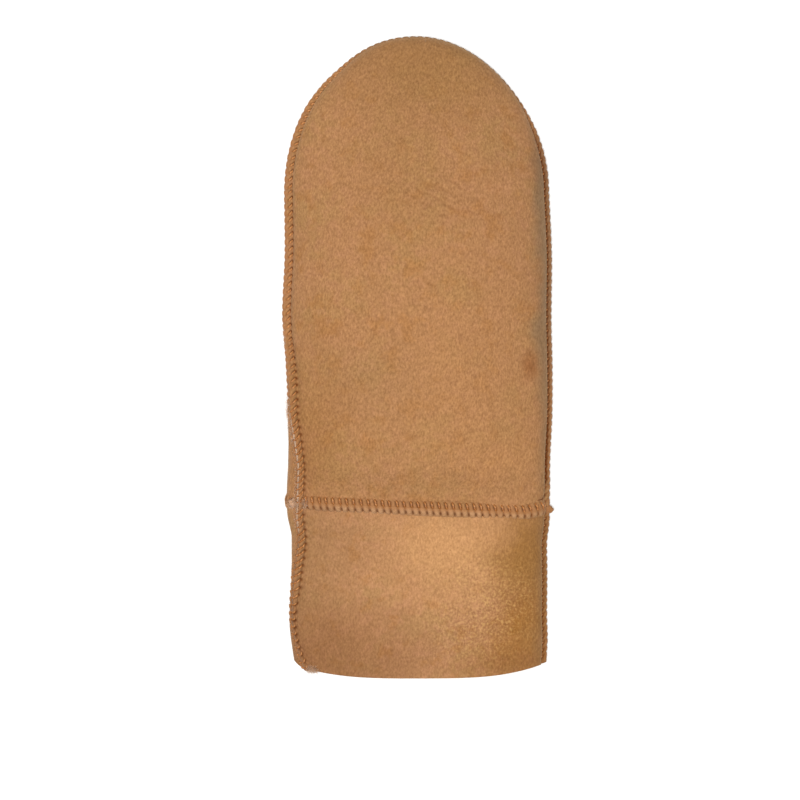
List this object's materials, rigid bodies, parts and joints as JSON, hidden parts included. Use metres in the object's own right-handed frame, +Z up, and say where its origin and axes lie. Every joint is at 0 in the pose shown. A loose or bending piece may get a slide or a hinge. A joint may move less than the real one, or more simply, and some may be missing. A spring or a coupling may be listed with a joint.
{
  "type": "shearling leather mitten",
  "caption": "Sheepskin mitten lying on its palm: suede outside, wool inside, overcast seams, a sewn-on cuff and the thumb folded flat under the palm.",
  "frame": {"origin": "centre of the mitten's outline, on the surface that it lies on", "axes": "+Y from the mouth of the cuff to the fingertips, +X towards the little finger's side, +Z up out of the back of the hand"},
  "size_m": [0.1262, 0.3005, 0.0385],
  "materials": {
    "suede": "tan sheepskin suede, matt, with a fine clipped nap",
    "cuff_suede": "tan sheepskin suede, matt, slightly coarser and paler on the cuff",
    "fleece": "clipped cream sheep's wool, matt",
    "thread": "waxed orange-brown thread, slightly glossy"
  },
  "bodies": {
    "root": {"back_skin": "suede", "palm_skin": "suede", "thumb_upper_skin": "suede", "thumb_lower_skin": "suede", "cuff_back_skin": "cuff_suede", "cuff_palm_skin": "cuff_suede", "back_fleece": "fleece", "palm_fleece": "fleece", "thumb_upper_fleece": "fleece", "thumb_lower_fleece": "fleece", "cuff_back_fleece": "fleece", "cuff_palm_fleece": "fleece"}
  },
  "joints": []
}
